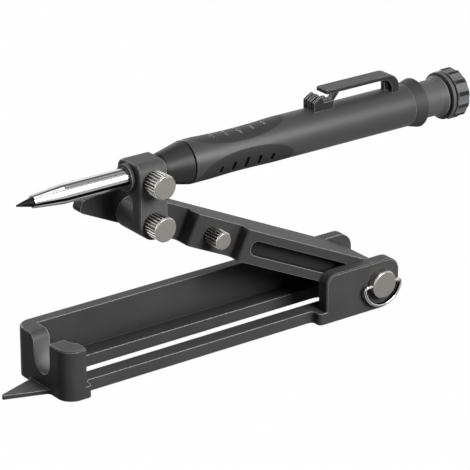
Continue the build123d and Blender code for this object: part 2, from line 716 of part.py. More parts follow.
def make_rear_collar():
    """The flared collar that closes the barrel and guides the push button."""
    spigot = BARREL_END - COLLAR_SPIGOT_L
    stop = COLLAR_END - NECK_IN - STROKE - BODY_GAP
    return turned(
        (BARREL_END, BARREL_R), (COLLAR_END - COLLAR_BREAK, COLLAR_MAX_R),
        (COLLAR_END, COLLAR_MAX_R - COLLAR_BREAK), (COLLAR_END, NECK_R + RUN_FIT),
        (stop, NECK_R + RUN_FIT), (stop, SHANK_R + RUN_FIT), (spigot, SHANK_R + RUN_FIT),
        (spigot, COLLAR_SPIGOT_R), (BARREL_END, COLLAR_SPIGOT_R),
    )


def make_push_button():
    """Neck, flare and cap seat in one turned piece, with the shank that the spring pushes on."""
    neck = COLLAR_END - NECK_IN
    rear = FLANGE_END + CAP_SEAT_L
    sharp_room = CAP_END - CAP_END_T - SHARP_L - BODY_GAP
    tube_end = neck - BODY_GAP
    return turned(
        (SHANK_X, LEAD_TUBE_R + SEAT_FIT), (SHANK_X, SHANK_R), (neck, SHANK_R), (neck, NECK_R),
        (FLARE_X, NECK_R), (FLARE_X + FLARE_L, FLARE_R), (FLARE_X + FLARE_L, GROOVE_R),
        (FLANGE_X, GROOVE_R), (FLANGE_X, CAP_SEAT_R), (rear, CAP_SEAT_R), (rear, SHARP_BORE_R),
        (sharp_room, SHARP_BORE_R), (sharp_room, LEAD_BORE_R), (tube_end, LEAD_BORE_R),
        (tube_end, LEAD_TUBE_R + SEAT_FIT),
    )


def make_button_ring():
    body = rod(FLANGE_R, FLANGE_X + SEAT_FIT, FLANGE_END)
    body = chamfer(body.edges().filter_by(GeomType.CIRCLE), EDGE / 2)
    return body - rod(CAP_SEAT_R + SEAT_FIT, FLANGE_X, FLANGE_END)


def make_sharpener_cap():
    """A scalloped cap with a narrower lip, hollow for the button's seat and the sharpener."""
    grip_x = CAP_X + CAP_LIP_L
    body = rod(CAP_R, grip_x, CAP_END)
    body = chamfer(body.edges().filter_by(GeomType.CIRCLE).sort_by(Axis.X)[0], CAP_FRONT_BREAK)
    body = chamfer(body.edges().filter_by(GeomType.CIRCLE).sort_by(Axis.X)[-1], CAP_REAR_BREAK)
    for i in range(CAP_SCALLOPS):
        scallop = Pos(0, 0, CAP_R + SCALLOP_R - SCALLOP_DEPTH) * rod(SCALLOP_R, grip_x - PAST, CAP_END + PAST)
        body -= Rot(i * 360 / CAP_SCALLOPS, 0, 0) * scallop
    body += rod(CAP_LIP_R, CAP_X, grip_x + EDGE)
    return body - rod(CAP_SEAT_R + RUN_FIT, CAP_X, CAP_END - CAP_END_T)


# Chuck

def make_collet():
    """A slotted brass chuck: a cone head in three jaws on a round tail."""
    head_end = CHUCK_BACK + COLLET_HEAD_L
    body = turned(
        (CHUCK_BACK, LEAD_BORE_R), (CHUCK_BACK, COLLET_HEAD_R), (head_end, COLLET_R),
        (COLLET_END, COLLET_R), (COLLET_END, LEAD_BORE_R),
    )
    slit_end = COLLET_END - LEAD_TUBE_LAP - BODY_GAP
    slit = box((CHUCK_BACK - PAST, -COLLET_SLIT / 2, 0), (slit_end, COLLET_SLIT / 2, COLLET_HEAD_R + PAST))
    for i in range(COLLET_JAWS):
        body -= Rot(i * 360 / COLLET_JAWS, 0, 0) * slit
    return body


def make_collet_ring():
    """The ring that closes the jaws, held between cone and barrel."""
    rear = CONE_L + CONE_SPIGOT_L
    front = rear - CHUCK_RING_L
    return turned(
        (front, CHUCK_RING_IN), (front, TUBE_FLANGE_R), (rear, TUBE_FLANGE_R),
        (rear, CHUCK_RING_IN),
    )


def make_lead_tube():
    front = COLLET_END - LEAD_TUBE_LAP
    rear = COLLAR_END - NECK_IN - 2 * BODY_GAP
    return rod(LEAD_TUBE_R, front, rear) - rod(COLLET_R + SEAT_FIT, front, rear)


def make_return_spring():
    """A wire helix between the barrel's shoulder and the button's shank."""
    ends = SPRING_WIRE_R + SEAT_FIT
    height = SPRING_L - 2 * ends
    path = Helix(height / SPRING_TURNS, height, SPRING_R, direction=(1, 0, 0))
    wire = sweep(Plane(path @ 0, z_dir=path % 0) * Circle(SPRING_WIRE_R), path, is_frenet=True)
    return Pos(SPRING_X + ends, 0, 0) * wire


# Sharpener

def make_sharpener_insert():
    """A round holder with a conical mouth and a flat for the blade."""
    rear = CAP_END - CAP_END_T
    front = rear - SHARP_L
    body = turned(
        (front, SHARP_MOUTH_R), (front, SHARP_R), (rear, SHARP_R), (rear, 0),
        (front + SHARP_CONE_L, 0), (front + SHARP_CONE_L, SHARP_END_R),
    )
    body -= box((front, -SHARP_R, SHARP_FLAT), (front + BLADE_L + 2 * HEAD_GAP, SHARP_R, SHARP_R))
    return body - blade_bore(BLADE_SCREW_R + SEAT_FIT, -SHARP_FLAT, SHARP_FLAT)


def blade_x():
    return CAP_END - CAP_END_T - SHARP_L + HEAD_GAP


def blade_bore(radius, low, high):
    """The blade screw's place, beside the cone."""
    x = blade_x() + BLADE_L - BLADE_HEAD_R - HEAD_GAP
    return upright(Pos(x, BLADE_W / 4) * Circle(radius), low, high)


def make_sharpener_blade():
    front = blade_x()
    blade = box((front, -BLADE_W / 2, SHARP_FLAT), (front + BLADE_L, BLADE_W / 2, SHARP_FLAT + BLADE_T))
    edge = blade.edges().filter_by(Axis.X).group_by(Axis.Y)[0].sort_by(Axis.Z)[-1]
    blade = chamfer(edge, BLADE_HONE)
    return blade - blade_bore(BLADE_SCREW_R + SEAT_FIT, SHARP_FLAT, SHARP_FLAT + BLADE_T)


def make_blade_screw():
    top = SHARP_FLAT + BLADE_T
    head = blade_bore(BLADE_HEAD_R, top, top + BLADE_HEAD_T)
    return head + blade_bore(BLADE_SCREW_R, 0, top)


PIECES = {
    "shoe": make_shoe,
    "hinge_bolt": make_hinge_bolt,
    "hinge_ring": make_hinge_ring,
    "arm": make_arm,
    "clamp_block": make_clamp_block,
    "pencil_screw": make_pencil_screw,
    "pivot_screw": make_pivot_screw,
    "arm_screw": make_arm_screw,
}

PENCIL_PIECES = {
    "lead": make_lead,
    "nose_tube": make_nose_tube,
    "front_cone": make_front_cone,
    "barrel": make_barrel,
    "pocket_clip": make_pocket_clip,
    "rear_collar": make_rear_collar,
    "push_button": make_push_button,
    "button_ring": make_button_ring,
    "sharpener_cap": make_sharpener_cap,
    "sharpener_insert": make_sharpener_insert,
    "sharpener_blade": make_sharpener_blade,
    "blade_screw": make_blade_screw,
    "lead_tube": make_lead_tube,
    "collet": make_collet,
    "collet_ring": make_collet_ring,
    "return_spring": make_return_spring,
}


def main():
    os.makedirs("parts", exist_ok=True)
    for name, make in PIECES.items():
        export_step(make(), f"parts/{name}.step")
    for name, make in PENCIL_PIECES.items():
        export_step(on_pencil(make()), f"parts/{name}.step")


main()
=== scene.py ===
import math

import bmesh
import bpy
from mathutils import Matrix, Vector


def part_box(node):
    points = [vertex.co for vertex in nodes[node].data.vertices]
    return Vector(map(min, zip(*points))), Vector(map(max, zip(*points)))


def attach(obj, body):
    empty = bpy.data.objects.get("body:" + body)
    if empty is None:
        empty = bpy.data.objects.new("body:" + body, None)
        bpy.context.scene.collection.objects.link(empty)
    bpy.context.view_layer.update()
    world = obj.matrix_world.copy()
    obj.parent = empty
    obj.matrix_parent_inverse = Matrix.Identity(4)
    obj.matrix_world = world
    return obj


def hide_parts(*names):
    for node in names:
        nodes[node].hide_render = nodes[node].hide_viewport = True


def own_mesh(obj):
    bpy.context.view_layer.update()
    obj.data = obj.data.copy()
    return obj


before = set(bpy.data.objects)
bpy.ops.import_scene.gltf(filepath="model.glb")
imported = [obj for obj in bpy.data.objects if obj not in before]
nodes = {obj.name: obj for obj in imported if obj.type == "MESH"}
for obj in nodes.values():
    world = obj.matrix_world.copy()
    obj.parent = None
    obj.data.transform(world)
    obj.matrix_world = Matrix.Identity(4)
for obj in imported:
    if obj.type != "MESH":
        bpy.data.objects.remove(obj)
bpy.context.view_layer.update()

# %% [markdown]
# # A folding scribing tool
# The tool is a cast shoe with a hinged arm, a swivelling clamp block, four screws and a mechanical
# carpenter's pencil. Its solids are exact already, so Blender's work here is the surface: what
# each piece is made of, how it was finished, and how soft studio light shows that.
#
# The imported model is the fixed frame. Each of its nodes sits at the origin in metres, so a pattern
# on Object coordinates has its real size.

MM = 0.001


# %% [markdown]
# ## Colours
# A colour picker shows sRGB, and Cycles reckons in linear light. One function turns the hex value
# that a maker would write down into the four linear numbers that a socket takes.

# %% From hex to linear
def colour(hex_value):
    """Linear RGBA of an sRGB hex value such as #4a4a4a."""
    parts = [int(hex_value[i:i + 2], 16) / 255 for i in (1, 3, 5)]
    linear = [p / 12.92 if p <= 0.04045 else ((p + 0.055) / 1.055) ** 2.4 for p in parts]
    return (*linear, 1.0)


print("mid grey #808080 is", round(colour("#808080")[0], 3), "in linear light")

# %% [markdown]
# ## One function for every node
# A material is a small graph. This function adds one node, sets its options and fills its sockets:
# a socket given another node's output is linked, and any other value is written on it. The Mix
# node keeps its colour sockets behind the ones for numbers and vectors, so their places get names
# here.

# %% The node function
MIX_A, MIX_B, MIX_OUT = 6, 7, 2


def fill(tree, node, sockets):
    """Links each socket to another node's output, or writes its value on it."""
    for key, value in sockets.items():
        socket = node.inputs[key]
        if isinstance(value, bpy.types.NodeSocket):
            tree.links.new(value, socket)
        else:
            socket.default_value = value


def add(tree, kind, sockets=None, **options):
    """Adds a node with its options and sockets, and returns it."""
    node = tree.nodes.new(kind)
    for name, value in options.items():
        setattr(node, name, value)
    fill(tree, node, sockets or {})
    return node


print("a Mix node blends the colours of sockets", MIX_A, "and", MIX_B)

# %% [markdown]
# ## Starting a material and giving it to a piece
# Every material on the tool is one Principled shader, whose sockets the graph fills. A texture's
# scale is grains per metre, and a maker thinks in millimetres, so that is worked out in one place.
# Most of a noise texture's values lie round a half, and a Map Range node stretches that middle to
# the full range. The frame's meshes stay as they are: a piece only gets a new material in its
# slot.

# %% Materials and slots
NOISE_MIDDLE = {"From Min": 0.3, "From Max": 0.7}
NOISE_CORE = {"From Min": 0.35, "From Max": 0.65}


def start_material(name):
    """An empty material, its tree and its Principled BSDF, already joined to an output."""
    material = bpy.data.materials.new(name)
    material.use_nodes = True
    tree = material.node_tree
    tree.nodes.clear()
    shader = add(tree, "ShaderNodeBsdfPrincipled")
    add(tree, "ShaderNodeOutputMaterial", {"Surface": shader.outputs["BSDF"]})
    return material, tree, shader


def per_metre(size_mm):
    """The texture scale at which one grain is about this many millimetres wide."""
    return 1 / (size_mm * MM)


def wear(material, *names):
    """Gives a finish to the frame's nodes."""
    for name in names:
        slots = nodes[name].data.materials
        if slots:
            slots[0] = material
        else:
            slots.append(material)
    print(material.name, "on", ", ".join(names))


print("a grain of 1 mm has the scale", per_metre(1))

# %% [markdown]
# ## Edges and corners
# Moulded and cast pieces have slightly round edges, and their corners and grooves lie in shade.
# Both are painted into the colour: the edges get a painted line, a highlight on most pieces and
# dark on the cone and the cap, and the corners get painted shade. Both could be painted on by
# hand. Here the shader works out a share from 0 to 1 from the solids, which stays right when a
# piece turns or changes. The Bevel node rounds the shading of an edge: over 0.45 mm on castings,
# half of that on mouldings and a third on screws. Where its normal leaves the face's own normal
# is an edge. An Ambient Occlusion node that looks only at the piece itself finds corners.

# %% Edges and corners
EDGE_RADIUS = 0.45
EDGE_STARTS, EDGE_FULL = 0.985, 0.82    # cosines of the turn away from the face's own normal
RAYS = 8                        # that a Bevel or Ambient Occlusion node sends out


def rounded_edges(tree, radius_mm):
    """The rounded normal, and a value that is 1 on edges and 0 on faces."""
    rounded = add(tree, "ShaderNodeBevel", {"Radius": radius_mm * MM}, samples=RAYS)
    flat = add(tree, "ShaderNodeNewGeometry")
    turn = add(tree, "ShaderNodeVectorMath",
               {0: rounded.outputs["Normal"], 1: flat.outputs["Normal"]}, operation="DOT_PRODUCT")
    mark = add(tree, "ShaderNodeMapRange",
               {"Value": turn.outputs["Value"], "From Min": EDGE_STARTS, "From Max": EDGE_FULL})
    return rounded.outputs["Normal"], mark.outputs["Result"]


def open_share(tree, reach_mm, closed, clear):
    """0 in corners and grooves of the same piece, 1 on open surfaces."""
    hollow = add(tree, "ShaderNodeAmbientOcclusion", {"Distance": reach_mm * MM}, samples=RAYS,
                 only_local=True)
    share = add(tree, "ShaderNodeMapRange",
                {"Value": hollow.outputs["AO"], "From Min": closed, "From Max": clear})
    return share.outputs["Result"]


print("castings are rounded over", EDGE_RADIUS, "mm")

# %% [markdown]
# ## Dust, painted top light and marked places
# Dust settles on the faces that look up, and the height of the normal tells which those are.
# On the castings the tone of those faces is also set for the light on their tops, so it is partly
# painted light, and on the clip the same share leaves its walls in painted shade. Some places get
# a painted highlight, such as the notch, and some painted shade, such as the gap where two pieces
# meet. A mask could be painted for each, but a box in the frame's own millimetres is easier to
# check and to move.

# %% Dust and boxes
UPWARD_STARTS, UPWARD_FULL = 0.3, 0.85      # height of the unit normal


def upward_share(tree):
    """1 on faces that look up, 0 on walls: dust, painted top light, the clip's painted shade."""
    facing = add(tree, "ShaderNodeTexCoord").outputs["Normal"]
    rise = add(tree, "ShaderNodeSeparateXYZ", {"Vector": facing}).outputs["Z"]
    share = add(tree, "ShaderNodeMapRange",
                {"Value": rise, "From Min": UPWARD_STARTS, "From Max": UPWARD_FULL})
    return share.outputs["Result"]


def box_share(tree, place, low_mm, high_mm):
    """1 inside a box of the frame and 0 outside."""
    parts = add(tree, "ShaderNodeSeparateXYZ", {"Vector": place})
    share = 1.0
    for axis, start, end in zip("XYZ", low_mm, high_mm):
        inside = add(tree, "ShaderNodeMath",
                     {0: parts.outputs[axis], 1: (start + end) / 2 * MM,
                      2: (end - start) / 2 * MM}, operation="COMPARE")
        share = add(tree, "ShaderNodeMath", {0: inside.outputs["Value"], 1: share},
                    operation="MULTIPLY").outputs["Value"]
    return share


print("dust is full where the normal's height passes", UPWARD_FULL)

# %% [markdown]
# ## The notch's painted highlight
# When the tool is folded, the pencil's steel tube drops into the notch of the shoe's front block.
# Its inner wall catches the light, most of all near the bottom, and a paler tone in the coat is a
# painted highlight for it. A box alone would end with a hard line, so the share also falls with
# the height and is nothing at the notch's top.

# %% Rubbed places
# The notch's box and the tone of its painted highlight, and the height at which the highlight is
# full.
NOTCH_HIGHLIGHT = ((-111.1, -5.1, 4.7), (-105.9, 6.2, 15.1), "#7a7a7a")   # low and high in mm, and the tone
FADE_FULL = 3.5                  # mm above the bottom, where the wear is full


def bottom_fading_share(tree, place, low_mm, high_mm):
    """1 at the bottom of a box of the frame, fading to 0 at its top and outside it."""
    height = add(tree, "ShaderNodeSeparateXYZ", {"Vector": place}).outputs["Z"]
    fade = add(tree, "ShaderNodeMapRange",
               {"Value": height, "From Min": high_mm[2] * MM,
                "From Max": (low_mm[2] + FADE_FULL) * MM})
    return add(tree, "ShaderNodeMath",
               {0: fade.outputs["Result"], 1: box_share(tree, place, low_mm, high_mm)},
               operation="MULTIPLY").outputs["Value"]


print("the notch is rubbed up to", NOTCH_HIGHLIGHT[1][2], "mm above the sole")

# %% [markdown]
# ## Powder-coated die casting
# The shoe, the arm and the clamp block are cast in a light alloy and powder-coated black. Powder
# melts into a skin with a slight orange peel, about a millimetre from lump to lump, and it draws
# back a little from sharp edges. The peel could be modelled, but it is hundredths of a millimetre
# high, so a bump is the right tool. The thin pale lines along the outer edges are a painted
# highlight, where the round edges catch the light. An inner corner is an edge too, but it catches
# no light, so the share of open surface takes its painted line away, and a longer reach paints the
# whole corner in painted shade.

# %% Powder coat
PEEL_LUMP, PEEL_HEIGHT = 0.9, 0.06
PATCH = 14.0                    # slow change of tone across a casting
POWDER_ROUGHNESS = {"To Min": 0.4, "To Max": 0.52}
POWDER_SPECULAR = 0.1
CORNER_SHADE = (9, 0.25, 0.85)  # reach in mm, closed, clear
OUTER_EDGE = (1.5, 0.64, 0.84)


def powder_coat(name, tones, painted_edge_tone, corner_shade_tone, dust_and_top_light_tone, lightened=()):
    """Black powder on cast alloy: a soft, faintly lumpy black that mirrors nothing sharply."""
    material, tree, shader = start_material(name)
    place = add(tree, "ShaderNodeTexCoord").outputs["Object"]
    normal, mark = rounded_edges(tree, EDGE_RADIUS)
    peel = add(tree, "ShaderNodeTexNoise",
               {"Vector": place, "Scale": per_metre(PEEL_LUMP), "Detail": 2.0}).outputs[0]
    patch = add(tree, "ShaderNodeTexNoise",
                {"Vector": place, "Scale": per_metre(PATCH), "Detail": 3.0}).outputs[0]
    tone = add(tree, "ShaderNodeMapRange", {"Value": patch, **NOISE_MIDDLE})
    body = add(tree, "ShaderNodeMix",
               {0: tone.outputs["Result"], MIX_A: colour(tones[0]), MIX_B: colour(tones[1])},
               data_type="RGBA")
    # Dust and painted top light: the tone of the faces that look up is set for how the tops are lit.
    dusted_and_lit = add(tree, "ShaderNodeMix",
                 {0: upward_share(tree), MIX_A: body.outputs[MIX_OUT], MIX_B: colour(dust_and_top_light_tone)},
                 data_type="RGBA")
    # Painted shade in the corners and grooves, by the share of open surface.
    surface = add(tree, "ShaderNodeMix",
                  {0: open_share(tree, *CORNER_SHADE), MIX_A: colour(corner_shade_tone),
                   MIX_B: dusted_and_lit.outputs[MIX_OUT]}, data_type="RGBA")
    # Painted highlight in the given boxes, fading upwards.
    for low_mm, high_mm, highlight_tone in lightened:
        surface = add(tree, "ShaderNodeMix",
                      {0: bottom_fading_share(tree, place, low_mm, high_mm),
                       MIX_A: surface.outputs[MIX_OUT], MIX_B: colour(highlight_tone)},
                      data_type="RGBA")
    # Painted highlight on the outer edges only; inner corners get none.
    outward = add(tree, "ShaderNodeMath", {0: mark, 1: open_share(tree, *OUTER_EDGE)},
                  operation="MULTIPLY")
    skin = add(tree, "ShaderNodeMix",
               {0: outward.outputs["Value"], MIX_A: surface.outputs[MIX_OUT],
                MIX_B: colour(painted_edge_tone)}, data_type="RGBA")
    gloss = add(tree, "ShaderNodeMapRange", {"Value": peel, **NOISE_MIDDLE, **POWDER_ROUGHNESS})
    bump = add(tree, "ShaderNodeBump",
               {"Height": peel, "Normal": normal, "Strength": 0.25, "Distance": PEEL_HEIGHT * MM})
    fill(tree, shader, {"Base Color": skin.outputs[MIX_OUT], "Roughness": gloss.outputs["Result"],
                        "Normal": bump.outputs["Normal"], "Specular IOR Level": POWDER_SPECULAR})
    return material


print("orange peel:", PEEL_LUMP, "mm from lump to lump")

# %% The three castings
# The three castings share one coat, and their tones also hold painted light and shade: the arm is
# darkened and the block lightened for how each is lit, which also parts them where they overlap.
# The shoe has the darkest painted corner shade and the painted highlight in its notch.
wear(powder_coat("powder_coated_alloy_shoe", ("#383838", "#404040"), painted_edge_tone="#a2a2a2",
                 corner_shade_tone="#161616", dust_and_top_light_tone="#3e3e3e", lightened=(NOTCH_HIGHLIGHT,)), "shoe")
wear(powder_coat("powder_coated_alloy_arm", ("#343434", "#3a3a3a"), painted_edge_tone="#8e8e8e",
                 corner_shade_tone="#1c1c1c", dust_and_top_light_tone="#393939"), "arm")
wear(powder_coat("powder_coated_alloy_block", ("#464646", "#4e4e4e"), painted_edge_tone="#a6a6a6",
                 corner_shade_tone="#1a1a1a", dust_and_top_light_tone="#464646"), "clamp_block")

# %% [markdown]
# ## The pencil's axis
# The grips, the slots, the cap's ridges, the screws' rings and the bands on the steel tube all lie
# round an axis. A Mapping node moves the place to that axis, and leaving out the part along it
# makes the length of what is left the distance from the axis.

# %% Distance from an axis
ACROSS_X, ACROSS_Y = (0.0, 1.0, 1.0), (1.0, 0.0, 1.0)
barrel_low, barrel_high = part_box("barrel")
pencil_axis = (barrel_low + barrel_high) / 2
BARREL_RADIUS = (barrel_high.y - barrel_low.y) / 2


def axis_distance(tree, place, centre, across):
    """Distance from a line through centre; across is 0 along the line and 1 across it."""
    moved = add(tree, "ShaderNodeMapping", {"Vector": place, "Location": -centre})
    flat = add(tree, "ShaderNodeVectorMath", {0: moved.outputs["Vector"], 1: across},
               operation="MULTIPLY")
    away = add(tree, "ShaderNodeVectorMath", {0: flat.outputs["Vector"]}, operation="LENGTH")
    return away.outputs["Value"]


print("barrel radius:", round(BARREL_RADIUS / MM, 2), "mm")

# %% [markdown]
# ## Grips and slots
# The barrel has three leaf-shaped scoops with five slots in each. The mould was spark-eroded
# coarser there, so that fingers hold, and they look darker and more matt. A mask could be drawn
# for them, but the scoops are real hollows: a grip is wherever the surface lies inside the
# barrel's own radius, and a slot's floor lies deeper still. The slots are painted nearly black, as
# painted shade, and the walls of the upper ones that face the point carry a painted highlight.
# The barrel's own front end gets the same painted shade, so its seam with the cone shows. The
# slots' edges get no painted edge highlight.

# %% Slots
SLOT_STARTS, SLOT_FULL = 0.72, 0.8      # mm inside the barrel's radius
WALL_STARTS, WALL_FULL = -0.5, -0.8     # X of the normal, for walls that face the point
FRONT_END = 5.0                         # mm of the barrel's front end, in front of the first slot


def slot_shares(tree, place, away, inside):
    """Where the slots are, and which of their walls carry a painted highlight."""
    deep = add(tree, "ShaderNodeMapRange",
               {"Value": away, "From Min": BARREL_RADIUS - SLOT_STARTS * MM,
                "From Max": BARREL_RADIUS - SLOT_FULL * MM})
    facing = add(tree, "ShaderNodeTexCoord").outputs["Normal"]
    forward = add(tree, "ShaderNodeSeparateXYZ", {"Vector": facing}).outputs["X"]
    wall = add(tree, "ShaderNodeMapRange",
               {"Value": forward, "From Min": WALL_STARTS, "From Max": WALL_FULL}).outputs["Result"]
    spot = add(tree, "ShaderNodeSeparateXYZ", {"Vector": place})
    above = add(tree, "ShaderNodeMath", {0: spot.outputs["Z"], 1: pencil_axis.z},
                operation="GREATER_THAN")
    behind = add(tree, "ShaderNodeMath",
                 {0: spot.outputs["X"], 1: barrel_low.x + FRONT_END * MM}, operation="GREATER_THAN")
    upper = add(tree, "ShaderNodeMath", {0: above.outputs["Value"], 1: behind.outputs["Value"]},
                operation="MULTIPLY")
    lit_wall = add(tree, "ShaderNodeMath", {0: wall, 1: upper.outputs["Value"]}, operation="MULTIPLY")
    # Walls that face the point inside the barrel's radius, its front end among them, join the slots'
    # painted shade.
    walled = add(tree, "ShaderNodeMath", {0: wall, 1: inside}, operation="MULTIPLY")
    slot = add(tree, "ShaderNodeMath",
               {0: walled.outputs["Value"], 1: deep.outputs["Result"]}, operation="MAXIMUM")
    return slot.outputs["Value"], lit_wall.outputs["Value"]


print("the slots' floors lie more than", SLOT_FULL, "mm inside the barrel's radius")

# %% Grips
GRIP_STARTS, GRIP_FULL = 0.02, 0.07     # mm inside the barrel's radius
SLOT_SHADE_TONE, SLOT_WALL_HIGHLIGHT_TONE = "#040404", "#f4f4f4"
GRIP_ROUGHER = 0.14


def gripped(tree, place, surface, gloss, mark, grip_tone):
    """Adds the grips and slots to the barrel's tone, roughness and edge mark."""
    away = axis_distance(tree, place, pencil_axis, ACROSS_X)
    inside = add(tree, "ShaderNodeMapRange",
                 {"Value": away, "From Min": BARREL_RADIUS - GRIP_STARTS * MM,
                  "From Max": BARREL_RADIUS - GRIP_FULL * MM}).outputs["Result"]
    slot, lit_wall = slot_shares(tree, place, away, inside)
    grip = add(tree, "ShaderNodeMix", {0: inside, MIX_A: surface, MIX_B: colour(grip_tone)},
               data_type="RGBA")
    # Painted shade in the slots and on the front end, and a painted highlight on the upper walls.
    slot_tone = add(tree, "ShaderNodeMix",
                    {0: lit_wall, MIX_A: colour(SLOT_SHADE_TONE), MIX_B: colour(SLOT_WALL_HIGHLIGHT_TONE)},
                    data_type="RGBA")
    slotted = add(tree, "ShaderNodeMix",
                  {0: slot, MIX_A: grip.outputs[MIX_OUT], MIX_B: slot_tone.outputs[MIX_OUT]},
                  data_type="RGBA")
    rougher = add(tree, "ShaderNodeMath", {0: inside, 1: GRIP_ROUGHER, 2: gloss},
                  operation="MULTIPLY_ADD")
    # The grips get no painted edge highlight.
    outside = add(tree, "ShaderNodeMath", {0: inside, 1: -1.0, 2: 1.0}, operation="MULTIPLY_ADD")
    kept_mark = add(tree, "ShaderNodeMath", {0: outside.outputs["Value"], 1: mark},
                    operation="MULTIPLY")
    return slotted.outputs[MIX_OUT], rougher.outputs["Value"], kept_mark.outputs["Value"]


print("grips start", GRIP_STARTS, "mm inside the barrel's radius")

# %% [markdown]
# ## Painted shade in mouths and on ridges
# Where two of the pencil's pieces meet, the rear one's front end lies in the gap, in shade, and is
# painted nearly black. The cap's ridges are painted dark too, as painted shade. Both follow from
# the solids: the mouth is the first part of a piece's own box, and a ridge is where the cap reaches
# its full radius.

# %% Mouths and ridges
CREST_STARTS, CREST_FULL = 0.08, 0.03   # mm inside the cap's radius
cap_low, cap_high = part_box("sharpener_cap")
CAP_RADIUS = (cap_high.y - cap_low.y) / 2


def mouth(node, depth_mm, tone):
    """The box round the front end of a turned piece, and the tone of its painted shade."""
    low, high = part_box(node)
    start = low / MM - Vector((1, 1, 1))
    end = high / MM + Vector((1, 1, 1))
    end.x = low.x / MM + depth_mm
    return start, end, tone


def crested(tree, place, surface, crest_shade_tone):
    """The cap's tone with painted shade on its ridges, which reach its full radius."""
    crest = add(tree, "ShaderNodeMapRange",
                {"Value": axis_distance(tree, place, pencil_axis, ACROSS_X),
                 "From Min": CAP_RADIUS - CREST_STARTS * MM,
                 "From Max": CAP_RADIUS - CREST_FULL * MM})
    # Painted shade along the ridges.
    return add(tree, "ShaderNodeMix",
               {0: crest.outputs["Result"], MIX_A: surface, MIX_B: colour(crest_shade_tone)},
               data_type="RGBA").outputs[MIX_OUT]


print("cap radius:", round(CAP_RADIUS / MM, 2), "mm")

# %% [markdown]
# ## Moulded ABS
# The pencil's shell is injection-moulded ABS. The tool steel of its mould was spark-eroded, and
# that leaves an even, very fine satin grain, really a few hundredths of a millimetre wide and
# drawn at 0.4 mm, so that it shows. It could be a bump alone, but at this distance a satin grain
# shows mostly as a change of gloss, so the same noise drives the roughness too. The pieces come
# from separate moulds, so the cone, the collar, the button, its ring and the cap each have their
# own tone. The cone and the collar, whose faces turn towards the point and away from the light,
# are made darker still, which is painted shade.

# %% Satin ABS
SATIN_GRAIN, SATIN_HEIGHT = 0.4, 0.03
BATCH_CLOUD = 9.0               # slow change of tone across a moulding
# Reach and limits of the painted shade in the corners of mouldings.
ABS_CORNER_SHADE = (2, 0.4, 0.8)     # reach in mm, closed, clear


def moulded_abs(name, tones, painted_edge_tone, roughness, specular=0.4, grips=None, crests=None,
                dark=(), corner_shade=None):
    """Black ABS from an eroded mould: an even satin, lit in one broad soft band."""
    material, tree, shader = start_material(name)
    place = add(tree, "ShaderNodeTexCoord").outputs["Object"]
    normal, mark = rounded_edges(tree, EDGE_RADIUS / 2)
    grain = add(tree, "ShaderNodeTexNoise",
                {"Vector": place, "Scale": per_metre(SATIN_GRAIN), "Detail": 1.0}).outputs[0]
    cloud = add(tree, "ShaderNodeTexNoise",
                {"Vector": place, "Scale": per_metre(BATCH_CLOUD), "Detail": 2.0}).outputs[0]
    surface = add(tree, "ShaderNodeMix",
                  {0: cloud, MIX_A: colour(tones[0]), MIX_B: colour(tones[1])},
                  data_type="RGBA").outputs[MIX_OUT]
    gloss = add(tree, "ShaderNodeMapRange",
                {"Value": grain, **NOISE_MIDDLE, "To Min": roughness[0],
                 "To Max": roughness[1]}).outputs["Result"]
    if grips:
        surface, gloss, mark = gripped(tree, place, surface, gloss, mark, grips)
    if crests:
        surface = crested(tree, place, surface, crests)
    # Painted shade in the mouths, where a piece meets the next.
    for low_mm, high_mm, painted_shade_tone in dark:
        surface = add(tree, "ShaderNodeMix",
                      {0: box_share(tree, place, low_mm, high_mm), MIX_A: surface,
                       MIX_B: colour(painted_shade_tone)}, data_type="RGBA").outputs[MIX_OUT]
    # Painted shade in the corners and grooves of the pieces that are given a corner tone.
    if corner_shade:
        surface = add(tree, "ShaderNodeMix",
                      {0: open_share(tree, *ABS_CORNER_SHADE), MIX_A: colour(corner_shade), MIX_B: surface},
                      data_type="RGBA").outputs[MIX_OUT]
    # Painted edge line: a highlight on most mouldings, and dark on the cone and the cap.
    skin = add(tree, "ShaderNodeMix", {0: mark, MIX_A: surface, MIX_B: colour(painted_edge_tone)},
               data_type="RGBA")
    bump = add(tree, "ShaderNodeBump",
               {"Height": grain, "Normal": normal, "Strength": 0.12,
                "Distance": SATIN_HEIGHT * MM})
    fill(tree, shader, {"Base Color": skin.outputs[MIX_OUT], "Roughness": gloss,
                        "Normal": bump.outputs["Normal"], "Specular IOR Level": specular})
    return material


print("satin grain: drawn at", SATIN_GRAIN, "mm")

# %% The pencil's mouldings
# The barrel's satin is the smoothest, so its lit band is the brightest. The cone and the collar
# mirror less and are darkened as painted shade, the button and its ring are paler, and the cap is
# the palest outside piece, with painted shade on its ridges. The sharpener's holder, hidden in the
# cap, is plain grey.
wear(moulded_abs("satin_moulded_abs_barrel", ("#323232", "#383838"), "#8a8a8a", (0.38, 0.44),
                 grips="#202020"), "barrel")
wear(moulded_abs("satin_moulded_abs_cone", ("#202020", "#252525"), "#0c0c0c", (0.42, 0.5),
                 specular=0.22, dark=(mouth("front_cone", 0.9, "#020202"),)), "front_cone")
wear(moulded_abs("satin_moulded_abs_collar", ("#2e2e2e", "#343434"), "#5c5c5c", (0.55, 0.62),
                 specular=0.22), "rear_collar")
wear(moulded_abs("satin_moulded_abs_button", ("#444444", "#4a4a4a"), "#8c8c8c", (0.42, 0.5),
                 specular=0.3, corner_shade="#0c0c0c"), "push_button")
wear(moulded_abs("grained_moulded_abs_cap", ("#545454", "#5e5e5e"), "#3a3a3a", (0.45, 0.55),
                 specular=0.2, dark=(mouth("sharpener_cap", 0.5, "#0a0a0a"),),
                 crests="#101010"), "sharpener_cap")
wear(moulded_abs("grained_moulded_abs_ring", ("#484848", "#505050"), "#a8a8a8", (0.45, 0.55),
                 specular=0.2, corner_shade="#0c0c0c"), "button_ring")
